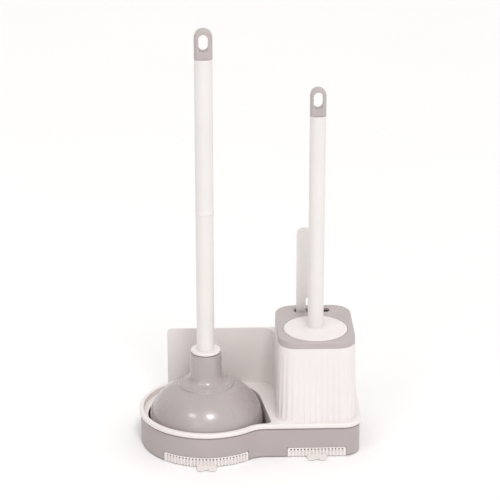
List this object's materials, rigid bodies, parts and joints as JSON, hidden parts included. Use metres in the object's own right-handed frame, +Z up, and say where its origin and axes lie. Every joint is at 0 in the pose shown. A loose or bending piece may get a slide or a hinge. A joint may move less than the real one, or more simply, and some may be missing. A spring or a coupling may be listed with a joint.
{
  "type": "toilet plunger and brush caddy",
  "caption": "Rubber cup plunger with a long screw-together handle, standing in a drip-tray caddy with a lidded toilet brush and a flat crevice brush.",
  "frame": {"origin": "on the floor, at the middle of the whole object's footprint", "axes": "+X to the brush side, +Y towards the back panel, +Z up along both handles"},
  "size_m": [0.2756, 0.1626, 0.5316],
  "materials": {
    "white_plastic": "satin moulded polypropylene",
    "tube_white": "smooth extruded tube",
    "grey_plastic": "satin moulded polypropylene",
    "collar_plastic": "satin moulded polypropylene",
    "cup_rubber": "smooth rubber with a soft sheen",
    "foot_rubber": "matt",
    "bristle": "nylon bristle"
  },
  "bodies": {
    "base": {"base_tray": "grey_plastic", "base_feet": "foot_rubber"},
    "left_vent": {"vent_left": "white_plastic"},
    "right_vent": {"vent_right": "white_plastic"},
    "housing": {"caddy_housing": "white_plastic"},
    "collar": {"brush_collar": "collar_plastic"},
    "brush": {"brush_lid": "white_plastic", "brush_lower_tube": "tube_white", "brush_joint_screw": "white_plastic", "brush_head_core": "white_plastic", "brush_bristles": "bristle"},
    "brush_ring": {"brush_joint_ring": "white_plastic"},
    "brush_handle": {"brush_joint_bush": "white_plastic", "brush_upper_tube": "tube_white", "brush_end_plug": "white_plastic", "brush_hang_cap": "collar_plastic"},
    "crevice_brush": {"crevice_blade": "white_plastic", "crevice_head": "collar_plastic", "crevice_bristles": "bristle"},
    "plunger_bell": {"plunger_cup": "cup_rubber"},
    "plunger": {"plunger_neck_plug": "white_plastic", "plunger_lower_tube": "tube_white", "plunger_joint_screw": "white_plastic"},
    "plunger_ring": {"plunger_joint_ring": "white_plastic"},
    "plunger_handle": {"plunger_joint_bush": "white_plastic", "plunger_upper_tube": "tube_white", "plunger_end_plug": "white_plastic", "plunger_hang_cap": "collar_plastic"}
  },
  "joints": [
    {"name": "left_vent_pull", "type": "slide", "parent": "base", "child": "left_vent", "axis": [0, -1, 0], "range_m": [0, 0.02]},
    {"name": "right_vent_pull", "type": "slide", "parent": "base", "child": "right_vent", "axis": [0, -1, 0], "range_m": [0, 0.02]},
    {"name": "housing_lift", "type": "slide", "parent": "base", "child": "housing", "axis": [0, 0, 1], "range_m": [0, 0.12]},
    {"name": "collar_lift", "type": "slide", "parent": "housing", "child": "collar", "axis": [0, 0, 1], "range_m": [0, 0.08]},
    {"name": "brush_lift", "type": "slide", "parent": "collar", "child": "brush", "axis": [0, 0, 1], "range_m": [0, 0.2]},
    {"name": "brush_unscrew_rise", "type": "slide", "parent": "brush", "child": "brush_ring", "axis": [0, 0, 1], "range_m": [0, 0.009]},
    {"name": "brush_unscrew", "type": "hinge", "parent": "brush_ring", "child": "brush_handle", "pos_m": [0.0813, 0.0036, 0.2913], "axis": [0, 0, 1], "range_deg": [0, 1080]},
    {"name": "crevice_brush_lift", "type": "slide", "parent": "collar", "child": "crevice_brush", "axis": [0, 0, 1], "range_m": [0, 0.16]},
    {"name": "plunger_lift", "type": "slide", "parent": "base", "child": "plunger_bell", "axis": [0, 0, 1], "range_m": [0, 0.25]},
    {"name": "plunger_squeeze", "type": "slide", "parent": "plunger_bell", "child": "plunger", "axis": [0, 0, 1], "range_m": [-0.022, 0], "stiffness_N_per_m": 1500, "springref_m": 0.004, "deforming": ["plunger_cup"]},
    {"name": "plunger_unscrew_rise", "type": "slide", "parent": "plunger", "child": "plunger_ring", "axis": [0, 0, 1], "range_m": [0, 0.009]},
    {"name": "plunger_unscrew", "type": "hinge", "parent": "plunger_ring", "child": "plunger_handle", "pos_m": [-0.0541, 0.0059, 0.309], "axis": [0, 0, 1], "range_deg": [0, 1080]}
  ],
  "couplings": [
    {"joint": "brush_unscrew_rise", "follows": "brush_unscrew", "m_per_rad": 0.00047746},
    {"joint": "plunger_unscrew_rise", "follows": "plunger_unscrew", "m_per_rad": 0.00047746}
  ]
}
